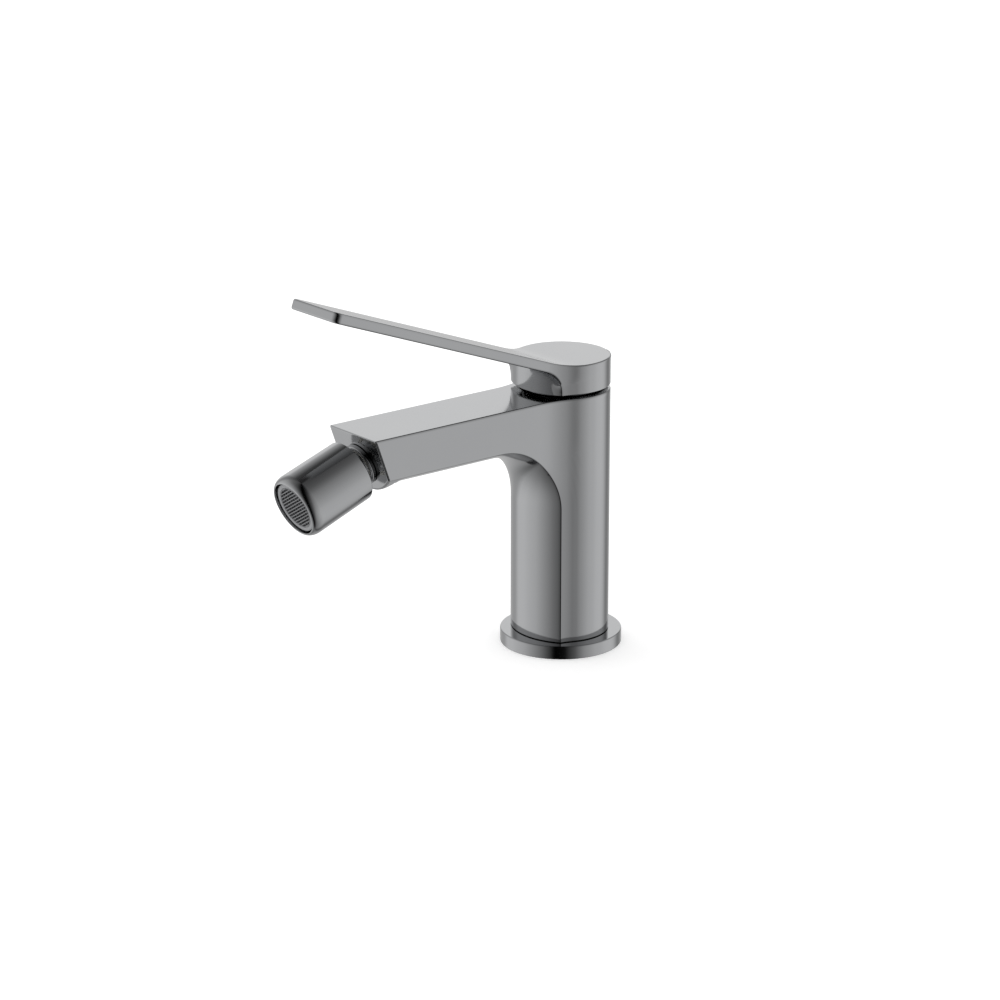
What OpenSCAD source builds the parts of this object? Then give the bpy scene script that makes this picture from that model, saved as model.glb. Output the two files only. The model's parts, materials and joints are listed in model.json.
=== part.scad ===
// Single-lever bidet mixer with a swivelling ball-joint outlet.
// Millimetres. The origin is on the column's axis at the deck, +Z is up and the spout points along -Y.

/* [Body] */
// Diameter of the body's round back and of the lever's cap
body_d = 42; // [41.5:0.5:46]
// Height of the spout's top face above the deck
body_h = 116; // [110:1:130]
// Radius of the hollow flanks between the round back and the spout's sides
flank_r = 42; // [36:1:60]
// Distance of the two front creases from the column's axis, along the spout
crease_y = 14.5; // [14:0.25:16]
// Radius across the bulged column front and spout underside
belly_r = 28; // [24:1:60]
// Radius of the arch between column and spout
arch_r = 32; // [28:0.5:34]

/* [Spout] */
// Width of the spout between its flat sides
spout_w = 32; // [30:0.5:34]
// Depth of the spout's flat sides
spout_side_h = 17.3; // [16.5:0.1:20]
// Reach of the spout's top edge from the column's axis
spout_reach = 113; // [100:0.5:130]
// Undercut of the spout's end face from the vertical, in degrees
end_lean = 20; // [16:1:24]
// Radius of the rounded lower lip at the spout's end
lip_r = 19.5; // [18:0.5:26]
// Radius of the hollow that runs from the lip back to the underside
lip_sweep_r = 12.5; // [11:0.5:16]
// Diameter of the water channel along the spout
channel_d = 11; // [9:0.5:12]
// Depth of the channel's centre below the spout's top face
channel_drop = 10; // [9.5:0.25:11]

/* [Base] */
// Diameter of the base flange
flange_d = 53.5; // [50:0.5:60]
// Thickness of the base flange
flange_h = 6; // [4:0.5:8]
// Diameter of the body's spigot inside the flange
spigot_d = 33; // [31:0.5:34]
// Thickness of the slip washer between flange and column
slip_washer_h = 0.4; // [0.3:0.1:0.8]
// Setback of the slip washer from the column's outside
slip_washer_inset = 0.6; // [0.4:0.1:0.8]
// Mean diameter of the deck seal under the flange
deck_seal_d = 45; // [42:0.5:47]
// Width of the deck seal
deck_seal_w = 2.6; // [2:0.2:3]
// Thickness of the deck seal
deck_seal_h = 1.9; // [1.5:0.1:2.4]
// Wall diameter of the two M10 x 1 hose inlets
inlet_thread_d = 9; // [8.9:0.05:9.2]
// Depth of the hose inlets' thread
inlet_thread_l = 14; // [10:1:18]
// Diameter of the waterways from the inlets to the cartridge
waterway_d = 7.6; // [6.6:0.2:8]
// Distance of each waterway from the column's middle plane
waterway_x = 7.5; // [7:0.25:8]
// Wall diameter of the M8 fixing-stud hole
stud_d = 6.8; // [6.6:0.1:7]
// Depth of the fixing-stud hole
stud_l = 18; // [14:1:24]
// Distance of the fixing stud behind the column's axis
stud_y = 11.5; // [11:0.25:12]

/* [Cartridge] */
// Outer diameter of the cartridge
cartridge_d = 35; // [34.5:0.1:35.2]
// Depth of the cartridge's seat below the body's rim
seat_drop = 40; // [39:0.5:42]
// Height of the cartridge from its seat to its shoulder
shoulder_h = 27; // [26.5:0.25:28]
// Wall of the cartridge housing
housing_wall = 2.4; // [2:0.1:2.8]
// Height of the open foot below the base plate
foot_h = 2.7; // [2.4:0.1:3.2]
// Thickness of the base plate
base_plate_h = 3; // [2.5:0.25:3.5]
// Thickness of the fixed ceramic disc
fixed_disc_h = 3.5; // [3:0.25:4]
// Thickness of the moving ceramic disc
moving_disc_h = 3.5; // [3:0.25:4]
// Diameter of the moving disc and its carrier
moving_disc_d = 24.6; // [23:0.2:25]
// Height of the disc carrier
carrier_h = 4.5; // [4:0.25:5]
// Diameter of the rotor's collar
collar_d = 24.8; // [23:0.2:25.4]
// Height of the collar above the cartridge's shoulder
collar_rise = 5; // [4:0.25:6]
// Depth of the lever's pivot below the top of the rotor's collar
pivot_drop = 4; // [3.5:0.25:4.5]
// Width of the square stem
stem_w = 8; // [7:0.25:8.5]
// Diameter of the stem's foot ball
foot_ball_d = 5.6; // [5:0.2:6]
// Diameter of the stem's pivot pin
pin_d = 3; // [2.5:0.1:3.4]
// Diameter of the clamping nut's thread
nut_d = 37.2; // [36.8:0.1:37.6]
// Height of the clamping nut
nut_h = 6; // [5:0.25:7]
// Inner diameter of the clamping nut
nut_bore_d = 28; // [27:0.2:30]
// Inner diameter of the dark trim ring
trim_bore_d = 30.4; // [30:0.2:31]
// Rise of the trim ring above the body's rim
trim_rise = 0.8; // [0.4:0.1:1]

/* [Lever] */
// Gap between the body's rim and the lever's cap
lever_gap = 2; // [1.8:0.1:2.5]
// Height of the lever's cap
cap_h = 12.5; // [12:0.25:15]
// Lift of the lever from shut to fully open, in degrees
lever_lift = 20; // [15:1:20]
// Rise of the lever's blade, in degrees
blade_rise = 19.9; // [16:0.1:24]
// Thickness of the blade
blade_t = 4.5; // [3.5:0.25:6]
// Reach of the blade's tip from the column's axis
blade_reach = 132.5; // [110:0.5:140]
// Distance from the axis at which the cap's top turns up into the blade
bend_y = 12.1; // [10:0.1:14]
// Radius of the bend from the cap's top to the blade
bend_r = 45; // [30:1:60]
// Radius of the cove under the blade's root
cove_r = 11; // [9:0.5:12]
// Radius of the blade's two tip corners
tip_corner_r = 3; // [1:0.5:6]
// Width of the cap's lower rim
rim_w = 0.5; // [0.4:0.05:0.8]
// Thickness of the cap's top over its hollow
cap_top_t = 4.5; // [4:0.25:5]
// Slope of the hollow's wall, radius lost for each unit of height
hollow_slope = 0.9; // [0.85:0.01:0.95]
// Distance of the hollow's front wall from the axis
hollow_front_y = 13; // [12:0.25:13.5]
// Diameter of the socket boss round the stem
socket_d = 16; // [15:0.25:16.5]
// Diameter of the M4 grub screw
grub_d = 4; // [3.6:0.1:4.4]
// Length of the grub screw
grub_l = 4; // [3.5:0.25:4.2]
// Thickness of the plug over the grub screw
plug_t = 2.3; // [1.8:0.1:2.5]

/* [Outlet] */
// Distance of the outlet's axis below the spout's top edge, along the end face
outlet_drop = 14.7; // [14.2:0.1:15.2]
// Diameter of the joint's ball
ball_d = 18; // [17.6:0.1:18.4]
// Distance of the ball's centre from the end face
ball_out = 10.4; // [10.2:0.1:10.8]
// Diameter of the ball stub's thread in the spout
stub_d = 16; // [15:0.2:16.4]
// Length of the ball stub's thread
stub_l = 10; // [8:0.5:12]
// Diameter of the ball stub's collar
stub_collar_d = 17.4; // [17:0.1:17.6]
// Thickness of the ball stub's collar
stub_collar_t = 1.6; // [1.2:0.1:2]
// Diameter of the neck between collar and ball
neck_d = 11.2; // [10:0.2:12]
// Diameter of the water bore through the ball
ball_bore_d = 8; // [7:0.25:8.5]
// Thickness of the liner round the ball
liner_t = 1.1; // [0.9:0.05:1.2]
// Distance of the housing's rear face from the end face
housing_out = 4.8; // [4.6:0.1:5]
// Length of the outlet housing
housing_l = 32.8; // [31:0.1:36]
// Diameter of the outlet housing at its rear
housing_rear_d = 27.2; // [25.2:0.2:28]
// Diameter of the outlet housing behind its lip
housing_lip_d = 27.8; // [27:0.2:29]
// Length of the housing's rounded lip
housing_lip_l = 4.4; // [3:0.2:6]
// Radius of the housing's rounded rear edge
housing_edge_r = 0.8; // [0.4:0.1:1]
// Diameter of the opening in the housing's rear face
housing_rear_bore_d = 17.8; // [17.7:0.05:18]
// Diameter of the aerator at the outlet
aerator_d = 22; // [21.2:0.1:22.6]
// Width of the open ring between the aerator and the housing's mouth
mouth_gap = 0.7; // [0.5:0.05:1]
// Depth of the aerator's face inside the housing
aerator_recess = 1.1; // [0.6:0.1:1.6]
// Diameter of the aerator's bore
aerator_bore_d = 18.8; // [18:0.1:19]
// Length of the threaded rear half of the aerator's cage
aerator_thread_l = 8; // [6:0.5:9]
// Spacing of the bars in the outlet grid
grid_pitch = 1.25; // [1.2:0.05:2.4]
// Spacing of the stays behind the bars
stay_pitch = 2.5; // [2:0.1:4]
// Turn of the bars from the horizontal, in degrees
grid_turn = 30; // [0:5:60]
// Thickness of the bars in the outlet grid
grid_bar = 0.5; // [0.4:0.05:0.7]
// Depth of the outlet grid
grid_h = 1.6; // [1.2:0.1:2]
// Thickness of the aerator's washer
washer_t = 1.6; // [1.2:0.1:2]
// Thickness of each mesh screen
screen_t = 0.5; // [0.4:0.05:0.7]
// Diameter of the diffuser's jets
jet_d = 1.2; // [0.9:0.1:1.4]

/* [Clearances] */
// Radial clearance of screwed or seated pieces
seat_gap = 0.05; // [0.03:0.01:0.08]
// Radial clearance of turning fits
run_gap = 0.08; // [0.05:0.01:0.1]
// Clearance between pieces that pass each other
free_gap = 0.3; // [0.25:0.05:0.4]

/* [Hidden] */
$fn = 96;

metal = "#8f9092";
dark_metal = "#2b2c2d";
brass = "#b5a46a";
rubber = "#1d1d1e";
polymer = "#d8d6cf";
ceramic = "#efece4";
steel = "#b9bcbf";

// Overlap that lets one cut run cleanly through a face
cut = 1;
// Room by which a cutting shape reaches past the outline that it trims
margin = 4;
// How far an arc sinks into what it blends, so that the two meet at a clear edge
blend_sink = 0.02;

// Plan of body and lever
body_r = body_d / 2;
spout_half = spout_w / 2;
flank_x = spout_half + flank_r - blend_sink;
flank_y = -sqrt(pow(body_r + flank_r - blend_sink, 2) - pow(flank_x, 2));
flank_share = body_r / (body_r + flank_r);
crease_x = flank_x - sqrt(pow(flank_r, 2) - pow(flank_y + crease_y, 2));
plan_reach = 2 * max(spout_reach, blade_reach);
plan_half = body_r + margin;

// Column, arch and spout
column_z = flange_h + slip_washer_h;
spout_low_z = body_h - spout_side_h;
belly_inset = sqrt(pow(belly_r, 2) - pow(crease_x, 2));
arch_y = -crease_y - arch_r;
arch_z = spout_low_z - arch_r;
lip_z = spout_low_z + sqrt(pow(lip_r, 2) - pow(spout_half, 2));
lip_low_z = lip_z - lip_r;
lip_end_y = -spout_reach + (body_h - lip_low_z) * tan(end_lean);
sweep_z = spout_low_z - lip_sweep_r;
sweep_y = lip_end_y + sqrt(pow(lip_sweep_r, 2) - pow(lip_low_z - sweep_z, 2));

// Cartridge levels, from its seat upwards
seat_z = body_h - seat_drop;
cartridge_r = cartridge_d / 2;
chamber_gap = 0.2;
chamber_r = cartridge_r + chamber_gap;
housing_bore_r = cartridge_r - housing_wall;
foot_z = seat_z + free_gap;
plate_z = foot_z + foot_h;
fixed_disc_z = plate_z + base_plate_h;
moving_disc_z = fixed_disc_z + fixed_disc_h + seat_gap;
carrier_z = moving_disc_z + moving_disc_h;
carrier_top_z = carrier_z + carrier_h;
shoulder_z = seat_z + shoulder_h;
shoulder_t = 3;
rotor_z = carrier_top_z + free_gap;
rotor_flange_z = shoulder_z - shoulder_t - run_gap;
collar_z = shoulder_z + collar_rise;
collar_r = collar_d / 2;
pivot_z = collar_z - pivot_drop;
foot_ball_z = carrier_z + foot_ball_d / 2 + run_gap * 2;
disc_travel = (pivot_z - foot_ball_z) * lever_lift * PI / 180;
disc_y = disc_travel / 2;
nut_r = nut_d / 2;
nut_top_z = shoulder_z + nut_h;
trim_top_z = body_h + trim_rise;
seal_w = 2.4;
seal_depth = 1.3;
inlet_seal_r = 4.9;
inlet_seal_bore_r = 3.3;
inlet_seal_h = 1.8;
inlet_boss_wall = 1;
skirt_inset = 0.9;
skirt_r = cartridge_r - skirt_inset;
skirt_h = 11;

// Lever
cap_z = body_h + lever_gap;
cap_top_z = cap_z + cap_h;
blade_top_z0 = cap_top_z - bend_y * tan(blade_rise);
blade_low_z0 = blade_top_z0 - blade_t / cos(blade_rise);
tip_y = blade_t * sin(blade_rise) - blade_reach;
tip_z = blade_top_z0 - tip_y * tan(blade_rise);
cove_y = blend_sink - crease_y - cove_r;
cove_z = blend_sink + blade_low_z0 - cove_y * tan(blade_rise) - cove_r / cos(blade_rise);
bend_half = bend_r * tan(blade_rise / 2);
hollow_r = body_r - rim_w;
hollow_top_z = cap_top_z - cap_top_t;
hollow_crown_h = 2;
hollow_upper_r = hollow_r - hollow_slope * (cap_h - cap_top_t - hollow_crown_h);
socket_setback = 0.6;
socket_z = cap_z + socket_setback;
stem_top_z = hollow_top_z;
grub_lift = 0.5;
grub_z = (socket_z + hollow_top_z) / 2 + grub_lift;
grub_y = stem_w / 2 + seat_gap;
grub_key_w = 2;
plug_shoulder = 0.2;
plug_d = grub_d + 2 * plug_shoulder;
plug_y = body_r - plug_t;

// Outlet, measured along its own axis from the spout's end face
end_y = -spout_reach + outlet_drop * sin(end_lean);
end_z = body_h - outlet_drop * cos(end_lean);
ball_r = ball_d / 2;
neck_r = neck_d / 2;
ball_flat = 2;
ball_front = ball_out + ball_r - ball_flat;
liner_in_r = ball_r + run_gap;
liner_out_r = liner_in_r + liner_t;
liner_rear_l = 4.6;
liner_rear = ball_out - liner_rear_l;
liner_front_l = 4;
liner_front = ball_out + liner_front_l;
socket_r = liner_out_r + run_gap;
bore_r = socket_r + seat_gap * 2;
seat_setback = 3.2;
seat_out = ball_out + seat_setback;
seat_l = 5;
seat_bore_inset = 1.5;
seat_bore_r = ball_r - seat_bore_inset;
housing_end = housing_out + housing_l;
washer_out = seat_out + seat_l;
cage_out = washer_out + washer_t;
cage_end = housing_end - aerator_recess;
cage_front = cage_out + aerator_thread_l;
mouth_r = aerator_d / 2 + mouth_gap;
aerator_bore_r = aerator_bore_d / 2;
jet_ring_r = 5.4;
ball_groove_w = 1.8;
ball_groove_depth = 1.4;
gasket_t = 1;

// Water route inside the body
channel_z = body_h - channel_drop;
channel_r = channel_d / 2;
riser_r = 4.5;
riser_start_y = -12;
riser_lift = 8;
riser_from = [riser_start_y, seat_z + riser_lift];
riser_to = [riser_from[0] - (channel_z - riser_from[1]), channel_z];
channel_end_y = end_y + stub_l * cos(end_lean);

// Plan outline shared by body and lever: a round back that flows into a straight strip
module plan_outline(reach) {
    difference() {
        union() {
            circle(r = body_r);
            translate([-spout_half, -reach])
                square([spout_w, reach]);
            polygon([
                [-flank_share * flank_x, flank_share * flank_y],
                [-spout_half, flank_y],
                [spout_half, flank_y],
                [flank_share * flank_x, flank_share * flank_y],
                [0, 0]
            ]);
        }
        for (side = [-1, 1])
            translate([side * flank_x, flank_y])
                circle(r = flank_r, $fn = 360);
    }
}

// Everything in front of the bulged front face, in plan
module front_plan() {
    difference() {
        translate([-plan_half, -plan_reach])
            square([2 * plan_half, plan_reach - crease_y + margin]);
        translate([0, belly_inset - crease_y])
            circle(r = belly_r, $fn = 360);
    }
}

// Turns a drawing of Y and Z into a solid of the given width across X
module across(width) {
    rotate([90, 0, 90])
        linear_extrude(width, center = true)
            children();
}

// Puts what is drawn along +Z on the outlet's axis, starting at the spout's end face
module on_outlet() {
    translate([0, end_y, end_z])
        rotate([90 + end_lean, 0, 0])
            children();
}

module tube(r, bore, h) {
    difference() {
        cylinder(r = r, h = h);
        translate([0, 0, -cut])
            cylinder(r = bore, h = h + 2 * cut);
    }
}

module at_inlets() {
    for (side = [-1, 1])
        translate([side * waterway_x, 0, 0])
            children();
}

// The free space in front of the column and under the spout
module under_spout_space() {
    translate([0, 0, -cut])
        linear_extrude(arch_z + cut)
            front_plan();
    translate([0, arch_y, arch_z])
        rotate([90, 0, 90])
            rotate_extrude(angle = 90, $fn = 180)
                difference() {
                    translate([0, -plan_half])
                        square([arch_r + margin, 2 * plan_half]);
                    translate([arch_r + belly_inset, 0])
                        circle(r = belly_r, $fn = 360);
                }
    translate([0, arch_y, 0])
        rotate([90, 0, 0])
            linear_extrude(plan_reach)
                difference() {
                    translate([-plan_half, -cut])
                        square([2 * plan_half, spout_low_z + margin + cut]);
                    translate([0, spout_low_z + belly_inset])
                        circle(r = belly_r, $fn = 360);
                }
}

// The rounded lower lip at the spout's end, with the hollow behind it
module spout_lip() {
    difference() {
        intersection() {
            translate([-spout_half, -spout_reach, lip_low_z - cut])
                cube([spout_w, spout_reach + sweep_y, spout_low_z - lip_low_z + 2 * cut]);
            translate([0, 0, lip_z])
                rotate([90, 0, 0])
                    cylinder(r = lip_r, h = plan_reach, $fn = 180);
        }
        translate([-plan_half, sweep_y, sweep_z])
            rotate([0, 90, 0])
                cylinder(r = lip_sweep_r, h = 2 * plan_half);
    }
}

// Waterways, cartridge chamber, channel and threaded holes
module body_hollows() {
    translate([0, 0, seat_z])
        cylinder(r = chamber_r, h = shoulder_h + cut);
    translate([0, 0, shoulder_z])
        cylinder(r = nut_r + seat_gap, h = body_h);
    at_inlets() {
        translate([0, 0, -cut])
            cylinder(d = inlet_thread_d, h = inlet_thread_l + cut);
        cylinder(d = waterway_d, h = seat_z + cut);
    }
    translate([0, stud_y, -cut])
        cylinder(d = stud_d, h = stud_l + cut);
    translate([0, riser_from[0], riser_from[1]])
        rotate([45, 0, 0])
            cylinder(r = riser_r, h = (channel_z - riser_from[1]) * sqrt(2));
    translate([0, riser_to[0] + riser_r, channel_z])
        rotate([90, 0, 0])
            cylinder(r = channel_r, h = riser_to[0] + riser_r - channel_end_y);
    on_outlet() {
        translate([0, 0, -stub_l - gasket_t])
            cylinder(d = stub_d + 2 * seat_gap, h = stub_l + gasket_t + cut);
        translate([0, 0, -stub_l - gasket_t - channel_r])
            cylinder(r = channel_r, h = stub_l);
    }
}

module body() {
    color(metal)
        difference() {
            union() {
                difference() {
                    translate([0, 0, column_z])
                        linear_extrude(body_h - column_z)
                            plan_outline(spout_reach);
                    under_spout_space();
                }
                spout_lip();
                cylinder(d = spigot_d, h = column_z + cut);
            }
            translate([0, -spout_reach, body_h])
                rotate([90 + end_lean, 0, 0])
                    translate([-plan_half, -body_h / 2, 0])
                        cube([2 * plan_half, body_h, body_h]);
            body_hollows();
        }
}

module base_flange() {
    edge = 0.4;
    color(metal)
        difference() {
            rotate_extrude()
                polygon([
                    [spigot_d / 2 + seat_gap, 0],
                    [flange_d / 2, 0],
                    [flange_d / 2, flange_h - edge],
                    [flange_d / 2 - edge, flange_h],
                    [spigot_d / 2 + seat_gap, flange_h]
                ]);
            translate([0, 0, -cut])
                tube(
                    deck_seal_d / 2 + deck_seal_w / 2 + seat_gap,
                    deck_seal_d / 2 - deck_seal_w / 2 - seat_gap,
                    deck_seal_h + cut
                );
        }
}

module slip_washer() {
    color(rubber)
        translate([0, 0, flange_h])
            difference() {
                tube(body_r - slip_washer_inset, spigot_d / 2 + seat_gap, slip_washer_h);
                translate([0, slip_washer_inset, -cut])
                    linear_extrude(slip_washer_h + 2 * cut)
                        front_plan();
            }
}

module deck_seal() {
    color(rubber)
        tube(deck_seal_d / 2 + deck_seal_w / 2, deck_seal_d / 2 - deck_seal_w / 2, deck_seal_h);
}

module cartridge_housing() {
    color(polymer)
        difference() {
            union() {
                translate([0, 0, plate_z])
                    cylinder(r = skirt_r, h = skirt_h + cut);
                translate([0, 0, plate_z + skirt_h])
                    cylinder(r = cartridge_r, h = shoulder_z - plate_z - skirt_h);
            }
            translate([0, 0, plate_z - cut])
                cylinder(r = housing_bore_r, h = rotor_flange_z + run_gap - plate_z + cut);
            cylinder(r = collar_r + run_gap, h = body_h);
            translate([0, 0, shoulder_z - shoulder_t - seal_w])
                tube(cartridge_r + cut, cartridge_r - seal_depth, seal_w);
        }
}

module housing_seal() {
    color(rubber)
        translate([0, 0, shoulder_z - shoulder_t - seal_w])
            tube(chamber_r - seat_gap, cartridge_r - seal_depth + seat_gap, seal_w);
}

module cartridge_base() {
    color(polymer)
        difference() {
            union() {
                translate([0, 0, plate_z])
                    cylinder(r = housing_bore_r - seat_gap, h = base_plate_h);
                at_inlets()
                    translate([0, 0, foot_z])
                        cylinder(r = inlet_seal_r + inlet_boss_wall, h = foot_h + cut);
            }
            at_inlets() {
                translate([0, 0, foot_z - cut])
                    cylinder(r = inlet_seal_r + seat_gap, h = inlet_seal_h - free_gap + cut);
                translate([0, 0, foot_z])
                    cylinder(r = inlet_seal_bore_r, h = fixed_disc_z);
            }
            translate([0, -waterway_x, plate_z - cut])
                cylinder(r = inlet_seal_bore_r, h = base_plate_h + 2 * cut);
        }
}

module inlet_seals() {
    color(rubber)
        at_inlets()
            translate([0, 0, seat_z])
                tube(inlet_seal_r, waterway_d / 2, inlet_seal_h);
}

module fixed_disc() {
    color(ceramic)
        translate([0, 0, fixed_disc_z])
            difference() {
                cylinder(r = housing_bore_r - free_gap, h = fixed_disc_h);
                at_inlets()
                    translate([0, 0, -cut])
                        cylinder(r = inlet_seal_bore_r, h = fixed_disc_h + 2 * cut);
                translate([0, -waterway_x, -cut])
                    cylinder(r = inlet_seal_bore_r, h = fixed_disc_h + 2 * cut);
            }
}

module moving_disc() {
    recess_h = moving_disc_h / 2;
    color(ceramic)
        translate([0, disc_y, moving_disc_z])
            difference() {
                cylinder(d = moving_disc_d, h = moving_disc_h);
                translate([0, -waterway_x / 2, -cut])
                    cylinder(r = inlet_seal_r, h = recess_h + cut);
            }
}

module disc_carrier() {
    color(polymer)
        difference() {
            translate([0, disc_y, carrier_z])
                cylinder(d = moving_disc_d, h = carrier_h);
            translate([0, 0, carrier_z + run_gap])
                cylinder(d = foot_ball_d + 2 * free_gap, h = carrier_h);
        }
}

module cartridge_rotor() {
    slot_w = stem_w + 2 * run_gap;
    swing_front = 5;
    swing_back = 2.5;
    slot_front = stem_w / 2 + swing_front;
    slot_back = stem_w / 2 + swing_back;
    color(polymer)
        difference() {
            union() {
                translate([0, 0, rotor_z])
                    cylinder(r = housing_bore_r - run_gap, h = rotor_flange_z - rotor_z);
                translate([0, 0, rotor_z])
                    cylinder(r = collar_r, h = collar_z - rotor_z);
            }
            translate([-slot_w / 2, -slot_front, rotor_z - cut])
                cube([slot_w, slot_front + slot_back, collar_z]);
            translate([-body_r, 0, pivot_z])
                rotate([0, 90, 0])
                    cylinder(r = pin_d / 2 + seat_gap / 2, h = body_d);
        }
}

module stem_pin() {
    end_inset = 0.4;
    color(steel)
        translate([end_inset - collar_r, 0, pivot_z])
            rotate([0, 90, 0])
                cylinder(d = pin_d, h = collar_d - 2 * end_inset);
}

module cartridge_stem() {
    square_z = pivot_z - stem_w / 2;
    shank_inset = 0.6;
    color(brass)
        difference() {
            union() {
                translate([-stem_w / 2, -stem_w / 2, square_z])
                    cube([stem_w, stem_w, stem_top_z - square_z]);
                translate([0, 0, foot_ball_z])
                    cylinder(r = foot_ball_d / 2 - shank_inset, h = square_z - foot_ball_z + cut);
                translate([0, 0, foot_ball_z])
                    sphere(d = foot_ball_d);
            }
            translate([-stem_w, 0, pivot_z])
                rotate([0, 90, 0])
                    cylinder(r = pin_d / 2 + run_gap / 2, h = 2 * stem_w);
        }
}

module cartridge_nut() {
    key_w = 5;
    key_h = 2.5;
    color(brass)
        translate([0, 0, shoulder_z])
            difference() {
                tube(nut_r, nut_bore_d / 2, nut_h);
                for (turn = [0, 90])
                    rotate(turn)
                        translate([-body_r, -key_w / 2, nut_h - key_h])
                            cube([body_d, key_w, key_h + cut]);
            }
}

module trim_ring() {
    edge = 0.6;
    color(dark_metal)
        rotate_extrude()
            polygon([
                [trim_bore_d / 2, nut_top_z],
                [nut_r, nut_top_z],
                [nut_r, trim_top_z - edge],
                [nut_r - edge, trim_top_z],
                [trim_bore_d / 2, trim_top_z]
            ]);
}

// Side view of the lever: flat cap top, bend, rising blade
module lever_side() {
    bend_points = [
        for (turn = [0 : blade_rise / 8 : blade_rise])
            [
                bend_half - bend_y - bend_r * sin(turn),
                cap_top_z + bend_r * (1 - cos(turn))
            ]
    ];
    polygon(concat(
        [[body_r + cut, cap_z], [body_r + cut, cap_top_z]],
        bend_points,
        [
            [tip_y, tip_z],
            [-blade_reach, blade_low_z0 + blade_reach * tan(blade_rise)],
            [tip_y / 2, blade_low_z0 - tip_y / 2 * tan(blade_rise)],
            [tip_y / 2, cap_z]
        ]
    ));
}

// The free space in front of the cap and under the blade
module under_blade_space() {
    intersection() {
        translate([0, 0, cap_z - cut])
            linear_extrude(tip_z)
                front_plan();
        across(4 * body_r)
            polygon([
                [0, cap_z - cut],
                [0, blade_low_z0],
                [2 * tip_y, blade_low_z0 - 2 * tip_y * tan(blade_rise)],
                [2 * tip_y, cap_z - cut]
            ]);
    }
}

// The cove that carries the cap's front up into the blade
module lever_cove() {
    root_y = 2 * cut - crease_y;
    intersection() {
        across(spout_w + body_r)
            difference() {
                polygon([
                    [root_y, cap_z],
                    [root_y, blade_low_z0 - root_y * tan(blade_rise) + cut],
                    [
                        cove_y + cove_r * sin(blade_rise),
                        cove_z + cove_r * cos(blade_rise) + cut
                    ],
                    [cove_y, cove_z],
                    [cove_y, cap_z]
                ]);
                translate([cove_y, cove_z])
                    circle(r = cove_r, $fn = 180);
                translate([cove_y - cove_r, cap_z - cut])
                    square([2 * cove_r, max(cove_z - cap_z, 0) + cut]);
            }
        translate([0, 0, cap_z])
            linear_extrude(tip_z)
                plan_outline(blade_reach);
    }
}

// The hollow in the cap that swings round the body's rim when the lever lifts
module cap_hollow() {
    intersection() {
        rotate_extrude()
            polygon([
                [0, cap_z - cut],
                [hollow_r + hollow_slope * cut, cap_z - cut],
                [hollow_upper_r, hollow_top_z - hollow_crown_h],
                [hollow_upper_r, hollow_top_z],
                [0, hollow_top_z]
            ]);
        translate([-body_d, -hollow_front_y, 0])
            cube([2 * body_d, body_d + hollow_front_y, tip_z]);
    }
}

module lever_handle() {
    socket_w = stem_w + 2 * seat_gap;
    color(metal)
        difference() {
            union() {
                difference() {
                    intersection() {
                        translate([0, 0, cap_z])
                            linear_extrude(tip_z)
                                plan_outline(blade_reach + margin);
                        across(4 * body_r)
                            lever_side();
                    }
                    under_blade_space();
                    cap_hollow();
                    tip_corners();
                }
                difference() {
                    lever_cove();
                    cap_hollow();
                }
                translate([0, 0, socket_z])
                    cylinder(d = socket_d, h = hollow_top_z - socket_z + cut);
            }
            translate([-socket_w / 2, -socket_w / 2, socket_z - cut])
                cube([socket_w, socket_w, stem_top_z - socket_z + cut]);
            translate([0, 0, grub_z])
                rotate([-90, 0, 0]) {
                    cylinder(r = grub_d / 2 + seat_gap, h = socket_d / 2 + cut);
                    translate([0, 0, socket_d / 2])
                        cylinder(r = plug_d / 2 + seat_gap, h = body_r);
                }
        }
}

// What the rounding takes off the blade's two tip corners
module tip_corners() {
    for (side = [-1, 1])
        translate([side * (spout_half - tip_corner_r), tip_y, tip_z])
            rotate([-blade_rise, 0, 0])
                translate([0, tip_corner_r, -blade_t - cut])
                    linear_extrude(blade_t + 2 * cut)
                        difference() {
                            translate([side > 0 ? 0 : -2 * tip_corner_r, -2 * tip_corner_r])
                                square(2 * tip_corner_r);
                            circle(r = tip_corner_r);
                        }
}

module grub_screw() {
    color(steel)
        translate([0, grub_y, grub_z])
            rotate([-90, 0, 0])
                difference() {
                    cylinder(d = grub_d, h = grub_l);
                    translate([0, 0, grub_l / 2])
                        cylinder(d = grub_key_w / cos(30), h = grub_l, $fn = 6);
                }
}

module screw_plug() {
    color(metal)
        intersection() {
            translate([0, plug_y, grub_z])
                rotate([-90, 0, 0])
                    cylinder(d = plug_d, h = body_r);
            cylinder(r = body_r - seat_gap, h = tip_z);
        }
}

module ball_stub() {
    color(metal)
        on_outlet()
            difference() {
                union() {
                    translate([0, 0, -stub_l])
                        cylinder(d = stub_d, h = stub_l + cut);
                    cylinder(d = stub_collar_d, h = stub_collar_t);
                    cylinder(r = neck_r, h = ball_out);
                    intersection() {
                        translate([0, 0, ball_out])
                            sphere(r = ball_r);
                        translate([0, 0, stub_collar_t])
                            cylinder(r = ball_d, h = ball_front - stub_collar_t);
                    }
                }
                translate([0, 0, -stub_l - cut])
                    cylinder(d = ball_bore_d, h = stub_l + ball_front + 2 * cut);
                translate([0, 0, ball_out - ball_groove_w / 2])
                    tube(ball_d, ball_r - ball_groove_depth, ball_groove_w);
            }
}

module stub_gasket() {
    color(rubber)
        on_outlet()
            translate([0, 0, -stub_l - gasket_t])
                tube(stub_d / 2, channel_r + seat_gap, gasket_t);
}

module ball_seal() {
    color(rubber)
        on_outlet()
            translate([0, 0, ball_out - ball_groove_w / 2 + seat_gap])
                tube(
                    ball_r - seat_gap,
                    ball_r - ball_groove_depth + seat_gap,
                    ball_groove_w - 2 * seat_gap
                );
}

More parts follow.
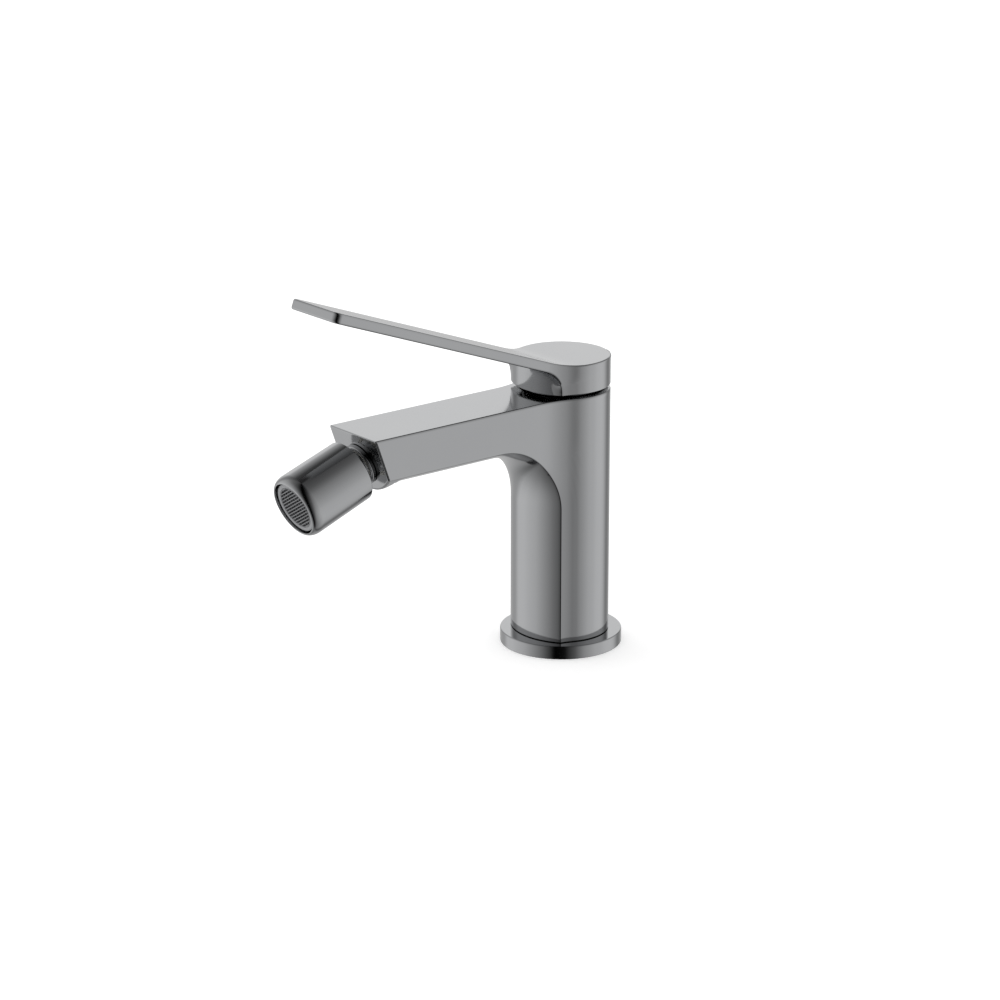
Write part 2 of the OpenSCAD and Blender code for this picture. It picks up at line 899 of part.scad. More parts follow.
module ball_liner() {
    color(polymer)
        on_outlet()
            intersection() {
                difference() {
                    translate([0, 0, ball_out])
                        sphere(r = liner_out_r);
                    translate([0, 0, ball_out])
                        sphere(r = liner_in_r);
                }
                translate([0, 0, liner_rear])
                    cylinder(d = 2 * ball_d, h = liner_front - liner_rear);
            }
}

module swivel_housing() {
    rear_r = housing_rear_d / 2;
    lip_w = housing_lip_d / 2 - mouth_r;
    lip_out = housing_end - housing_lip_l;
    lip_points = [
        for (turn = [0 : 15 : 75])
            [mouth_r + lip_w * cos(turn), lip_out + housing_lip_l * sin(turn)]
    ];
    color(metal)
        on_outlet()
            difference() {
                rotate_extrude()
                    polygon(concat(
                        [
                            [0, housing_out],
                            [rear_r - housing_edge_r, housing_out],
                            [rear_r, housing_out + housing_edge_r]
                        ],
                        lip_points,
                        [[0, lip_points[len(lip_points) - 1][1]]]
                    ));
                translate([0, 0, ball_out])
                    sphere(r = socket_r);
                translate([0, 0, ball_out])
                    cylinder(r = bore_r, h = housing_end);
                translate([0, 0, cage_front - seat_gap])
                    cylinder(r = mouth_r, h = housing_end);
                cylinder(d = housing_rear_bore_d, h = ball_out);
            }
}

module seat_ring() {
    color(polymer)
        on_outlet()
            difference() {
                translate([0, 0, seat_out])
                    tube(bore_r - seat_gap, seat_bore_r, seat_l);
                translate([0, 0, ball_out])
                    sphere(r = socket_r);
            }
}

module aerator_washer() {
    color(rubber)
        on_outlet()
            translate([0, 0, washer_out])
                tube(bore_r - seat_gap, seat_bore_r, washer_t);
}

module aerator_cage() {
    color(polymer)
        on_outlet()
            difference() {
                union() {
                    translate([0, 0, cage_out])
                        cylinder(r = bore_r - seat_gap, h = aerator_thread_l);
                    translate([0, 0, cage_front])
                        cylinder(d = aerator_d, h = cage_end - cage_front);
                }
                translate([0, 0, cage_out - cut])
                    cylinder(r = aerator_bore_r, h = housing_end);
            }
}

module jet_diffuser() {
    plate_h = 2;
    jets = 16;
    color(polymer)
        on_outlet()
            translate([0, 0, cage_out])
                difference() {
                    cylinder(r = aerator_bore_r - seat_gap, h = plate_h);
                    for (jet = [0 : jets - 1])
                        rotate(jet * 360 / jets)
                            translate([jet_ring_r, 0, -cut])
                                cylinder(d = jet_d, h = plate_h + 2 * cut);
                }
}

module mesh_screens() {
    first_out = cage_out + aerator_thread_l / 2;
    step = 2;
    color(steel)
        on_outlet()
            for (screen = [0, 1])
                translate([0, 0, first_out + screen * step])
                    cylinder(r = aerator_bore_r - seat_gap, h = screen_t);
}

module outlet_grid() {
    grid_r = aerator_bore_r - seat_gap;
    bars = floor(grid_r / grid_pitch);
    stays = floor(grid_r / stay_pitch);
    ring_w = 0.45;
    color(polymer)
        on_outlet()
            translate([0, 0, cage_end - grid_h]) {
                tube(grid_r, grid_r - ring_w, grid_h);
                intersection() {
                    cylinder(r = grid_r - ring_w / 2, h = grid_h);
                    rotate(grid_turn) {
                        for (bar = [-bars : bars])
                            translate([-grid_r, bar * grid_pitch - grid_bar / 2, 0])
                                cube([2 * grid_r, grid_bar, grid_h]);
                        for (stay = [-stays : stays])
                            translate([stay * stay_pitch - grid_bar / 2, -grid_r, 0])
                                cube([grid_bar, 2 * grid_r, grid_h / 2]);
                    }
                }
            }
}

body();
base_flange();
slip_washer();
deck_seal();
cartridge_housing();
housing_seal();
cartridge_base();
inlet_seals();
fixed_disc();
moving_disc();
disc_carrier();
cartridge_rotor();
stem_pin();
cartridge_stem();
cartridge_nut();
trim_ring();
lever_handle();
grub_screw();
screw_plug();
ball_stub();
stub_gasket();
ball_seal();
ball_liner();
swivel_housing();
seat_ring();
aerator_washer();
aerator_cage();
jet_diffuser();
mesh_screens();
outlet_grid();
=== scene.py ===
import json
import math

import bmesh
import bpy
from mathutils import Matrix, Vector


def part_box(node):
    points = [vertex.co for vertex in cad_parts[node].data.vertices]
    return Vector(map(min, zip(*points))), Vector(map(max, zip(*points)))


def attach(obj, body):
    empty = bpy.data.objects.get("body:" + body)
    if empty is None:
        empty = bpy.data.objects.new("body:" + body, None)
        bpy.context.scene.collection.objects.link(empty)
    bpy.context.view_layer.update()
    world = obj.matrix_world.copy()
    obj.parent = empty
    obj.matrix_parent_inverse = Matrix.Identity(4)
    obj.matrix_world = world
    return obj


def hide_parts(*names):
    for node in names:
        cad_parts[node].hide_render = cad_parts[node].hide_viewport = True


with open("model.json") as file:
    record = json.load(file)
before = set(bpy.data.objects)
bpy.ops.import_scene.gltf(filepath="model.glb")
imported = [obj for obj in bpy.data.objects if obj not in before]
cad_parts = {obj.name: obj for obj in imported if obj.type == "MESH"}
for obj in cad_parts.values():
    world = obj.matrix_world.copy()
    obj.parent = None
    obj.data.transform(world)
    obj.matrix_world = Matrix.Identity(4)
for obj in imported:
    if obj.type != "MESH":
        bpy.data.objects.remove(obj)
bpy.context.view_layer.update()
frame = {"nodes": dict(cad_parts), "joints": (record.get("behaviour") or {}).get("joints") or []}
nodes = frame["nodes"]
scene = bpy.context.scene
mm = 0.001
print("frame loaded with", len(nodes), "nodes")


def boxMm(node):
    low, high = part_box(node)
    return low / mm, high / mm


def steps(start, end, count):
    return [start + (end - start) * k / count for k in range(count + 1)]


def smoothMin(a, b, blend):
    share = max(blend - abs(a - b), 0) / blend if blend > 0 else 0
    return min(a, b) - share * share * blend / 4


def smoothMax(a, b, blend):
    return -smoothMin(-a, -b, blend)


# Materials

def linear(code):
    parts = [int(code[i:i + 2], 16) / 255 for i in (1, 3, 5)]
    return tuple(c / 12.92 if c <= 0.04045 else ((c + 0.055) / 1.055) ** 2.4 for c in parts) + (1.0,)


def addNode(tree, kind, inputs=None, **settings):
    node = tree.nodes.new(kind)
    for name, value in settings.items():
        setattr(node, name, value)
    for key, value in (inputs or {}).items():
        if isinstance(value, bpy.types.NodeSocket):
            tree.links.new(value, node.inputs[key])
        else:
            node.inputs[key].default_value = value
    return node


def calc(tree, operation, *values):
    return addNode(tree, "ShaderNodeMath", dict(enumerate(values)), operation=operation).outputs[0]


def vectorOf(tree, x=0.0, y=0.0, z=0.0):
    return addNode(tree, "ShaderNodeCombineXYZ", {0: x, 1: y, 2: z}).outputs[0]


def newFinish(name):
    finish = bpy.data.materials.new(name)
    finish.use_nodes = True
    finish.node_tree.nodes.clear()
    return finish, finish.node_tree, addNode(finish.node_tree, "ShaderNodeTexCoord").outputs["Object"]


def perMetre(sizeMm):
    return 1 / (sizeMm * mm)


def grainyFinish(name, light, dark, patchMm, grainMm, roughness, bumpMm, stretch=(1, 1, 1), **shader):
    # two close tones in soft patches, with a fine grain that breaks the gloss
    finish, tree, place = newFinish(name)
    drawn = addNode(tree, "ShaderNodeMapping", {"Vector": place, "Scale": stretch}).outputs[0]
    patch = addNode(tree, "ShaderNodeTexNoise", {
        "Vector": place, "Scale": perMetre(patchMm), "Detail": 3.0})
    grain = addNode(tree, "ShaderNodeTexNoise", {
        "Vector": drawn, "Scale": perMetre(grainMm), "Detail": 2.0})
    tone = addNode(tree, "ShaderNodeMix", {
        0: patch.outputs[0], 6: linear(light), 7: linear(dark)}, data_type="RGBA")
    gloss = addNode(tree, "ShaderNodeMapRange", {
        0: grain.outputs[0], 1: 0.3, 2: 0.7, 3: roughness[0], 4: roughness[1]})
    bump = addNode(tree, "ShaderNodeBump", {
        "Height": grain.outputs[0], "Distance": bumpMm * mm, "Strength": 1.0})
    surface = addNode(tree, "ShaderNodeBsdfPrincipled", {
        "Base Color": tone.outputs[2], "Roughness": gloss.outputs[0], "Normal": bump.outputs[0], **shader})
    addNode(tree, "ShaderNodeOutputMaterial", {"Surface": surface.outputs[0]})
    return finish


# brass, bead blasted and vapour coated: an even neutral grey with a soft satin mirror
satinGunmetal = grainyFinish("satinGunmetal", "#b3b4b5", "#afb0b2",
                             26, 0.3, (0.1, 0.13), 0.0004, Metallic=1.0)
# polished black nickel plate: a dark grey mirror, near black inside the narrow gap; its grey, darker than
# the gunmetal, is partly painted shade of that gap
darkTrimAndGapShade = grainyFinish("darkTrimAndGapShade", "#8a8b8d", "#818284", 12, 0.4, (0.08, 0.12), 0.0004, Metallic=1.0)
# turned brass: warm yellow with fine tool marks round the axis, drawn coarser than a real 0.1 mm feed
turnedBrass = grainyFinish("turnedBrass", "#c9a766", "#b8944f",
                           6, 0.5, (0.22, 0.36), 0.002, (0.1, 0.1, 1), Metallic=1.0)
# ground stainless steel: bright and slightly streaked
groundSteel = grainyFinish("groundSteel", "#b9bbbd", "#a7a9ab",
                           5, 0.4, (0.2, 0.32), 0.0015, (1, 0.2, 1), Metallic=1.0)
# woven stainless gauze, seen as a fine bright and dark speckle
steelGauze = grainyFinish("steelGauze", "#a9abad", "#5e6062", 0.6, 0.3, (0.25, 0.4), 0.02, Metallic=1.0)
# moulded acetal: milky white, a little waxy
milkyAcetal = grainyFinish("milkyAcetal", "#e4e2da", "#dcd9cf", 9, 0.5, (0.36, 0.46), 0.002, IOR=1.48)
# moulded light grey acetal with a fine spark-eroded texture
greyAcetal = grainyFinish("greyAcetal", "#9b9c9e", "#949597", 6, 0.35, (0.38, 0.5), 0.003, IOR=1.48)
# moulded slate grey acetal: thin bars in mid grey over dark slots
slateAcetal = grainyFinish("slateAcetal", "#77787a", "#707173", 4, 0.35, (0.36, 0.48), 0.003, IOR=1.48)
# lapped alumina ceramic: dense off-white with a dull polish
lappedAlumina = grainyFinish("lappedAlumina", "#ece8df", "#e2ddd2", 4, 0.25, (0.14, 0.24), 0.0008, IOR=1.76)
# moulded nitrile rubber: matt black with a faint bloom
nitrileRubber = grainyFinish("nitrileRubber", "#1f1f20", "#2b2b2c", 5, 0.4, (0.55, 0.72), 0.006, IOR=1.52)
print("finishes made")

cadFinishes = {
    # trim ring: dark plate whose darker grey is partly painted shade of the gap under the cap
    darkTrimAndGapShade: ["trim_ring"],
    satinGunmetal: ["body", "base_flange", "lever_handle", "screw_plug", "ball_stub", "swivel_housing"],
    turnedBrass: ["cartridge_nut", "cartridge_stem"],
    groundSteel: ["stem_pin", "grub_screw"],
    steelGauze: ["mesh_screens"],
    milkyAcetal: ["cartridge_housing", "cartridge_base", "cartridge_rotor", "disc_carrier", "ball_liner",
                  "seat_ring", "jet_diffuser"],
    greyAcetal: ["aerator_cage"],
    slateAcetal: ["outlet_grid"],
    lappedAlumina: ["fixed_disc", "moving_disc"],
    nitrileRubber: ["slip_washer", "deck_seal", "housing_seal", "inlet_seals", "stub_gasket", "ball_seal",
                    "aerator_washer"],
}
for finish, names in cadFinishes.items():
    for name in names:
        nodes[name].data.materials.clear()
        nodes[name].data.materials.append(finish)


# Mesh tools, in millimetres until a piece is made

def addGrid(bm, rows):
    made = [[bm.verts.new(p) for p in row] for row in rows]
    for low, high in zip(made, made[1:]):
        for k in range(len(low) - 1):
            bm.faces.new((low[k], low[k + 1], high[k + 1], high[k]))


def addFace(bm, points):
    bm.faces.new([bm.verts.new(p) for p in points])


def mirrored(points):
    return [Vector((-p[0], p[1], p[2])) for p in points]


def addBoth(bm, rows):
    addGrid(bm, rows)
    addGrid(bm, [mirrored(row) for row in rows])


def addBothFaces(bm, points):
    addFace(bm, points)
    addFace(bm, mirrored(points))


def shares(length, edge, count):
    # even steps with a narrow first and last one, which leave room for the rounded edges
    first = edge / length
    return [0.0] + steps(first, 1 - first, count - 2) + [1.0]


def across(half, edge):
    return [half * (1 - 2 * t) for t in shares(2 * half, edge, 20)]


def weld(bm):
    bmesh.ops.remove_doubles(bm, verts=bm.verts, dist=0.002)
    bmesh.ops.dissolve_degenerate(bm, edges=bm.edges, dist=0.0005)
    bmesh.ops.delete(bm, geom=[e for e in bm.edges if not e.link_faces], context="EDGES")
    bmesh.ops.recalc_face_normals(bm, faces=bm.faces)
    if bm.calc_volume(signed=True) < 0:
        bmesh.ops.reverse_faces(bm, faces=bm.faces)


def roundEdges(bm, creaseWidth, edgeWidth, picked):
    # blunt creases first, then the square edges
    for width, low, high in ((creaseWidth, 25, 62), (edgeWidth, 62, 180)):
        edges = [e for e in bm.edges if len(e.link_faces) == 2
                 and math.radians(low) < e.calc_face_angle() <= math.radians(high) and picked(e)]
        bmesh.ops.bevel(bm, geom=edges, offset=width, offset_type="OFFSET", segments=3, profile=0.5,
                        affect="EDGES", clamp_overlap=False, loop_slide=True)


def softCorners(corners, segments=5):
    # profile points (across, along, radius), with each corner rounded to its radius
    points = []
    for k, (x, y, radius) in enumerate(corners):
        here = Vector((x, y))
        if radius == 0:
            points.append((x, y))
            continue
        before = (Vector(corners[k - 1][:2]) - here).normalized()
        after = (Vector(corners[(k + 1) % len(corners)][:2]) - here).normalized()
        half = before.angle(after) / 2
        centre = here + (before + after).normalized() * radius / math.sin(half)
        start = here + before * radius / math.tan(half) - centre
        end = here + after * radius / math.tan(half) - centre
        turn = math.atan2(start.x * end.y - start.y * end.x, start.dot(end))
        for a in steps(0, turn, segments):
            points.append(tuple(centre + Matrix.Rotation(a, 2) @ start))
    return points


def lathe(bm, profile, count=128):
    rows = [[Vector((r * math.cos(a), r * math.sin(a), h)) for a in steps(0, 2 * math.pi, count)]
            for r, h in profile + profile[:1]]
    addGrid(bm, rows)


def newTree(name, sizes):
    tree = bpy.data.node_groups.new(name, "GeometryNodeTree")
    tree.interface.new_socket("Geometry", in_out="OUTPUT", socket_type="NodeSocketGeometry")
    for label, value in sizes.items():
        kind = "NodeSocketInt" if isinstance(value, int) else "NodeSocketFloat"
        tree.interface.new_socket(label, in_out="INPUT", socket_type=kind)
    return tree, addNode(tree, "NodeGroupInput").outputs


def growTree(bm, tree, shape, finish, sizes, place):
    # closes the tree, runs it with these sizes and adds its mesh to bm at the given place
    solid = addNode(tree, "GeometryNodeRealizeInstances", {"Geometry": shape}).outputs[0]
    dressed = addNode(tree, "GeometryNodeSetMaterial", {"Geometry": solid, "Material": finish}).outputs[0]
    addNode(tree, "NodeGroupOutput", {0: dressed})
    holder = bpy.data.objects.new(tree.name, bpy.data.meshes.new(tree.name))
    scene.collection.objects.link(holder)
    grown = holder.modifiers.new(tree.name, "NODES")
    grown.node_group = tree
    for item in tree.interface.items_tree:
        if item.in_out == "INPUT":
            grown[item.identifier] = sizes[item.name]
    mesh = bpy.data.meshes.new_from_object(holder.evaluated_get(bpy.context.evaluated_depsgraph_get()))
    bpy.data.objects.remove(holder)
    known = len(bm.verts)
    bm.from_mesh(mesh)
    bm.verts.ensure_lookup_table()
    bmesh.ops.transform(bm, matrix=place, verts=bm.verts[known:])
    weld(bm)


def finishPiece(name, bm, finish, body, replaced, hard=32):
    bmesh.ops.transform(bm, matrix=Matrix.Scale(mm, 4), verts=bm.verts)
    for face in bm.faces:
        face.smooth = True
    for edge in bm.edges:
        edge.smooth = len(edge.link_faces) == 2 and edge.calc_face_angle() < math.radians(hard)
    mesh = bpy.data.meshes.new(name)
    bm.to_mesh(mesh)
    bm.free()
    mesh.materials.append(finish)
    piece = bpy.data.objects.new(name, mesh)
    scene.collection.objects.link(piece)
    even = piece.modifiers.new("even shading", "WEIGHTED_NORMAL")
    even.keep_sharp = True
    solid = bpy.data.meshes.new_from_object(piece.evaluated_get(bpy.context.evaluated_depsgraph_get()))
    solid.name = name
    piece.modifiers.clear()
    piece.data = solid
    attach(piece, body)
    if replaced:
        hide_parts(*replaced)
    print(name, "made,", len(solid.polygons), "faces")


# Plan outline that the column and the lever share, from the middle of the back along its right half

bodyLow, bodyHigh = boxMm("body")
plan = dict(backRadius=bodyHigh.y, flankRadius=42, halfWidth=16, creaseY=14.5, bellyRadius=28)
flankX = plan["halfWidth"] + plan["flankRadius"]
flankY = -math.sqrt((plan["backRadius"] + plan["flankRadius"]) ** 2 - flankX ** 2)
flankTurn = math.atan2(-flankY, flankX)
backLength = plan["backRadius"] * (math.pi / 2 + flankTurn)
flankLength = plan["flankRadius"] * flankTurn


def outlineAt(s):
    if s <= backLength:
        a = math.pi / 2 - s / plan["backRadius"]
        return plan["backRadius"] * math.cos(a), plan["backRadius"] * math.sin(a)
    if s <= backLength + flankLength:
        a = flankTurn - (s - backLength) / plan["flankRadius"]
        return flankX - plan["flankRadius"] * math.cos(a), flankY + plan["flankRadius"] * math.sin(a)
    return plan["halfWidth"], flankY - (s - backLength - flankLength)


def outlineLengthAt(y):
    if y > flankY:
        turn = math.asin((y - flankY) / plan["flankRadius"])
        return backLength + flankLength - plan["flankRadius"] * turn
    return backLength + flankLength + flankY - y


def widthAt(y):
    return outlineAt(outlineLengthAt(y))[0]


def wallLine(inner, outer, edge, count):
    # a line on the wall from its lower edge to its upper one, straight on the unrolled outline
    length = math.dist(inner, outer)
    return [Vector((*outlineAt(inner[0] + (outer[0] - inner[0]) * t), inner[1] + (outer[1] - inner[1]) * t))
            for t in shares(length, edge, count)]


creaseS = outlineLengthAt(-plan["creaseY"])
creaseX = widthAt(-plan["creaseY"])


def bulge(x):
    return math.sqrt(plan["bellyRadius"] ** 2 - x * x) - math.sqrt(plan["bellyRadius"] ** 2 - creaseX ** 2)


# Body: column, arch and spout

bodyForm = dict(archRadius=32, sideHeight=17.3, endLean=math.radians(20), lipRadius=19.5, lipSweep=12.5,
                lipLand=0.8, lipBlend=1.2, edgeRound=0.85, creaseRound=0.3, edgeRoom=1.15, creaseRise=40,
                boreRadius=18.65, boreDepth=13, spigotRadius=16.5, inletX=7.5, inletRadius=4.95,
                inletDepth=14, studY=11.5, studRadius=3.95, studDepth=18)
topZ, reach = bodyHigh.z, -bodyLow.y
footZ = boxMm("slip_washer")[1].z
lowZ = topZ - bodyForm["sideHeight"]
archY = -plan["creaseY"] - bodyForm["archRadius"]
archZ = lowZ - bodyForm["archRadius"]
lipZ = lowZ + math.sqrt(bodyForm["lipRadius"] ** 2 - plan["halfWidth"] ** 2)
lipLowZ = lipZ - bodyForm["lipRadius"]
sweepZ = lowZ - bodyForm["lipSweep"]


def endY(z):
    return -reach + (topZ - z) * math.tan(bodyForm["endLean"])


sweepY = (endY(lipLowZ) + bodyForm["lipLand"]
          + math.sqrt(bodyForm["lipSweep"] ** 2 - (lipLowZ - sweepZ) ** 2))


def spoutLow(x, y):
    # underside of the spout: the belly, and the lip that sweeps down at its end
    lip = lipZ - math.sqrt(bodyForm["lipRadius"] ** 2 - x * x)
    back = y - sweepY
    fall = math.sqrt(max(bodyForm["lipSweep"] ** 2 - back * back, 0))
    sweep = lowZ + back / 2 if back > 0 else sweepZ + fall
    return smoothMin(lowZ - bulge(x), smoothMax(lip, sweep, bodyForm["lipBlend"]), bodyForm["lipBlend"])


def spoutPoint(x, share):
    y = endY(lipZ)
    for _ in range(8):
        y = endY(spoutLow(x, y))
    y = archY + (y - archY) * share
    return Vector((x, y, spoutLow(x, y)))


def archPoint(x, a):
    radius = bodyForm["archRadius"] - bulge(x)
    return Vector((x, archY + radius * math.cos(a), archZ + radius * math.sin(a)))


def archEdge(a):
    x = plan["halfWidth"]
    for _ in range(12):
        x = widthAt(archPoint(x, a).y)
    return archPoint(x, a)


def circle(x, y, z, radius, start, end, count):
    return [Vector((x + radius * math.cos(a), y + radius * math.sin(a), z))
            for a in steps(start, end, count)]


def makeBody():
    bm = bmesh.new()
    room, archS = bodyForm["edgeRoom"], outlineLengthAt(archY)
    # rows of the right wall, from its lower edge to its upper one, and of the belly between the walls
    wall, belly = [], []
    for z in steps(footZ, archZ, 22):
        wall.append(((creaseS, z), (0, z)))
        belly.append([Vector((x, -plan["creaseY"] - bulge(x), z)) for x in across(creaseX, room)])
    upper = [(0, z) for z in steps(archZ, topZ, 14)[1:]] + [(s, topZ) for s in steps(0, archS, 40)[1:]]
    for s, z in upper:
        a = math.atan2(z - archZ, archS - s)
        edge = archEdge(a)
        wall.append(((outlineLengthAt(edge.y), edge.z), (s, z)))
        belly.append([archPoint(x, a) for x in across(edge.x, room)])
    for t in steps(0, 0.68, 14)[1:] + steps(0.68, 1, 30)[1:]:
        edge = spoutPoint(plan["halfWidth"], t)
        topS = outlineLengthAt(archY + (-reach - archY) * t)
        wall.append(((outlineLengthAt(edge.y), edge.z), (topS, topZ)))
        belly.append([spoutPoint(x, t) for x in across(plan["halfWidth"], room)])
    lines = [wallLine(low, high, room, 24) for low, high in wall]
    addBoth(bm, lines)
    addGrid(bm, belly)
    rim = [line[-1] for line in lines if line[-1].z > topZ - 0.001]
    bore = circle(0, 0, topZ, bodyForm["boreRadius"], -math.pi / 2, math.pi / 2, 48)
    addBothFaces(bm, rim + [Vector((0, -reach, topZ))] + bore)  # top, round the cartridge bore
    floor = [Vector((p.x, p.y, topZ - bodyForm["boreDepth"])) for p in bore]
    addBoth(bm, [bore, floor])
    addBothFaces(bm, floor)
    middle = len(belly[-1]) // 2
    end = lines[-1]
    lowEdge = belly[-1][1:-1][::-1]
    addFace(bm, end + [Vector((0, -reach, topZ))] + mirrored(end)[::-1] + lowEdge)  # leaning end face
    spigot = circle(0, 0, footZ, bodyForm["spigotRadius"], -math.pi / 2, math.pi / 2, 48)
    addBothFaces(bm, lines[0][::-1] + belly[0][1:middle + 1] + spigot)
    foot = [Vector((p.x, p.y, 0)) for p in spigot]
    addBoth(bm, [spigot, foot])
    # underside of the foot, with the inlets and the stud's hole
    inletX, inletR, studY, studR = (bodyForm[k] for k in ("inletX", "inletRadius", "studY", "studRadius"))
    front = circle(inletX, 0, 0, inletR, -math.pi, 0, 20)
    back = circle(inletX, 0, 0, inletR, 0, math.pi, 20)
    stud = circle(0, studY, 0, studR, -math.pi / 2, math.pi / 2, 16)
    addBothFaces(bm, foot[:25] + front[::-1] + [Vector((0, 0, 0))])
    addBothFaces(bm, foot[24:] + stud[::-1] + [Vector((0, 0, 0))] + back[::-1])
    for loop, depth in ((front + back[1:], bodyForm["inletDepth"]), (stud, bodyForm["studDepth"])):
        end = [p + Vector((0, 0, depth)) for p in loop]
        addBoth(bm, [loop, end])
        addBothFaces(bm, end[:-1] if loop is not stud else end)
    weld(bm)
    # the foot, the bore and the holes keep their edges
    roundEdges(bm, bodyForm["creaseRound"], bodyForm["edgeRound"], lambda e: all(
        v.co.z > footZ + 0.01 and math.hypot(v.co.x, v.co.y) > bodyForm["boreRadius"] + 0.1
        or v.co.y < -plan["creaseY"] + 0.1 and v.co.z < archZ + bodyForm["creaseRise"] for v in e.verts)
        and max(v.co.z for v in e.verts) > footZ + 0.01)
    finishPiece("spoutBody", bm, satinGunmetal, "mixer_body", ["body"])


threadForms = {  # radius less crest is the hole's core radius
    (-bodyForm["inletX"], 0.0): {"Radius": 4.97, "Crest": 0.47, "Pitch": 1.0, "Rings": 12},
    (bodyForm["inletX"], 0.0): {"Radius": 4.97, "Crest": 0.47, "Pitch": 1.0, "Rings": 12},
    (0.0, bodyForm["studY"]): {"Radius": 3.97, "Crest": 0.57, "Pitch": 1.25, "Rings": 13}}


def makeThreads():
    # thread crests as a stack of rings, seen from below in the hose and stud holes
    bm = bmesh.new()
    for (x, y), sizes in threadForms.items():
        tree, size = newTree("threadRings", sizes)
        wide = calc(tree, "MULTIPLY", size["Crest"], 2.0)
        high = calc(tree, "MULTIPLY", size["Pitch"], 0.45)
        section = addNode(tree, "GeometryNodeCurvePrimitiveQuadrilateral", {
            "Width": wide, "Bottom Height": high, "Top Height": high}, mode="KITE").outputs[0]
        path = addNode(tree, "GeometryNodeCurvePrimitiveCircle", {
            "Resolution": 64, "Radius": size["Radius"]}).outputs[0]
        ring = addNode(tree, "GeometryNodeCurveToMesh", {
            "Curve": path, "Profile Curve": section}).outputs[0]
        offset = vectorOf(tree, z=size["Pitch"])
        line = addNode(tree, "GeometryNodeMeshLine", {
            "Count": size["Rings"], "Start Location": offset, "Offset": offset}).outputs[0]
        stack = addNode(tree, "GeometryNodeInstanceOnPoints", {"Points": line, "Instance": ring}).outputs[0]
        growTree(bm, tree, stack, satinGunmetal, sizes, Matrix.Translation((x, y, 0)))
    finishPiece("inletThreads", bm, satinGunmetal, "mixer_body", None)


makeBody()
makeThreads()


# Lever: cap and rising blade

leverLow = boxMm("lever_handle")[0]
leverForm = dict(capHeight=12.5, rise=math.radians(19.9), bendRadius=45, bendY=12.1, thickness=4.5,
                 tipRound=3, coveRadius=11, coveBlend=1, edgeRound=0.8, creaseRound=0.3, edgeRoom=1.1,
                 hollowRadius=20.5, hollowUpper=15.1, hollowRise=6, hollowHeight=8, hollowFront=-13,
                 bossRadius=8, bossGap=0.6, plugRadius=2.25, plugDepth=2.3, plugRoom=5)
capLowZ = leverLow.z
capTopZ = capLowZ + leverForm["capHeight"]
riseSlope = math.tan(leverForm["rise"])
bendStartY = leverForm["bendRadius"] * math.tan(leverForm["rise"] / 2) - leverForm["bendY"]
bendEndY = bendStartY - leverForm["bendRadius"] * math.sin(leverForm["rise"])
bladeDrop = Vector((0, -math.sin(leverForm["rise"]), -math.cos(leverForm["rise"]))) * leverForm["thickness"]
tipY = leverLow.y - bladeDrop.y  # of the tip's upper edge: the lower one reaches further
plugLow, plugHigh = boxMm("screw_plug")
plugZ = (plugLow.z + plugHigh.z) / 2
coveY = -plan["creaseY"] - leverForm["coveRadius"]
coveZ = (capTopZ - riseSlope * (coveY + leverForm["bendY"])
         - (leverForm["thickness"] + leverForm["coveRadius"]) / math.cos(leverForm["rise"]))


def leverTop(y):
    if y >= bendStartY:
        return capTopZ
    if y >= bendEndY:
        bend = leverForm["bendRadius"]
        return capTopZ + bend - math.sqrt(bend ** 2 - (y - bendStartY) ** 2)
    return capTopZ - riseSlope * (y + leverForm["bendY"])


def covePoint(x, a):
    # the cap's belly stands upright and flows into the cove, so that the blade is flat underneath
    cove, swell = leverForm["coveRadius"], bulge(x)
    radius = smoothMin(cove, (cove - swell) / math.cos(a), min(leverForm["coveBlend"], 0.8 * swell))
    return Vector((x, coveY + radius * math.cos(a), coveZ + radius * math.sin(a)))


def coveEdge(a):
    x = plan["halfWidth"]
    for _ in range(12):
        x = widthAt(covePoint(x, a).y)
    return covePoint(x, a)


